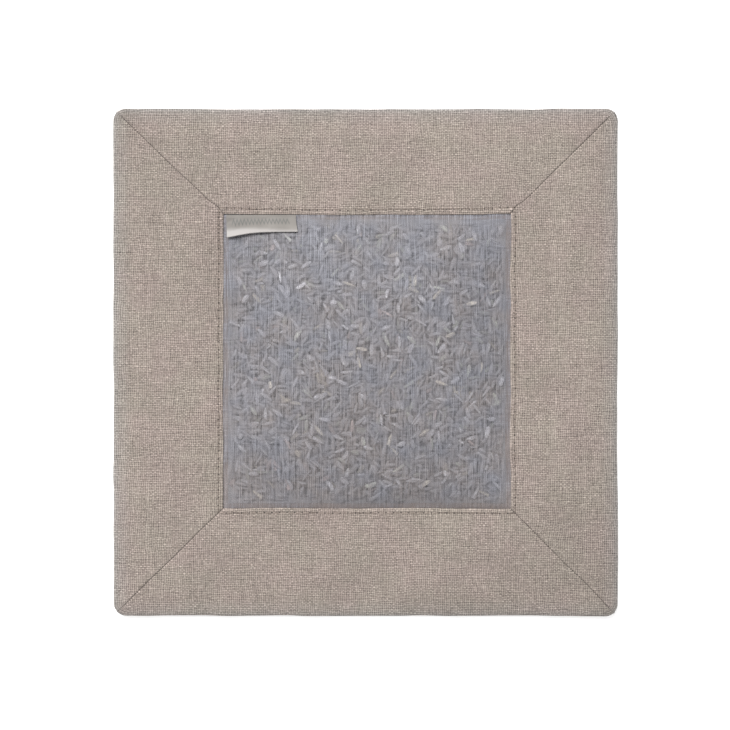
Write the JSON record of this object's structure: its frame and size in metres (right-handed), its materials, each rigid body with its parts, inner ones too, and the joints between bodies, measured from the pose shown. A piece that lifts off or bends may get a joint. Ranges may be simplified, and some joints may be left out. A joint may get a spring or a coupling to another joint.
{
  "type": "herbal compress pad",
  "caption": "Flat square linen pad with a mitred border, a sheer window over a sewn pocket of dried herb buds, and a small folded tape label.",
  "frame": {"origin": "centre of the back face, which lies on the table", "axes": "+Z out of the window, away from the table; +Y towards the edge nearest the label; +X to the right with the window facing the reader"},
  "size_m": [0.2, 0.2, 0.0094],
  "materials": {
    "linen": "undyed slubby linen, plain weave, matt",
    "interlining": "ironed-on woven interlining, matt",
    "sewing_thread": "spun polyester-cotton thread",
    "cotton_lining": "fine plain-weave cotton, matt",
    "organza": "pale lilac-grey organza, see-through, soft sheen",
    "dried_herbs": "loose dried grey-violet flower buds with a few straw bits, matt",
    "label_tape": "off-white woven satin tape with a plain zigzag motif"
  },
  "bodies": {
    "pad": {"back_panel": "linen", "border_strip_top": "linen", "border_strip_left": "linen", "border_strip_bottom": "linen", "border_strip_right": "linen", "interlining_top": "interlining", "interlining_left": "interlining", "interlining_bottom": "interlining", "interlining_right": "interlining", "pocket_lining": "cotton_lining", "herb_fill": "dried_herbs", "sheer_window": "organza", "mitre_seam_top_right": "sewing_thread", "mitre_seam_top_left": "sewing_thread", "mitre_seam_bottom_left": "sewing_thread", "mitre_seam_bottom_right": "sewing_thread", "window_topstitch_thread": "sewing_thread", "window_bobbin_thread": "sewing_thread", "edge_seam_thread": "sewing_thread", "pocket_seam_thread": "sewing_thread", "label_tab": "label_tape"},
    "label": {"label_flap": "label_tape"}
  },
  "joints": [
    {"name": "label_fold", "type": "hinge", "parent": "pad", "child": "label", "pos_m": [-0.0423, 0.0572, 0.0025], "axis": [-1, 0, 0], "range_deg": [0, 160]}
  ]
}
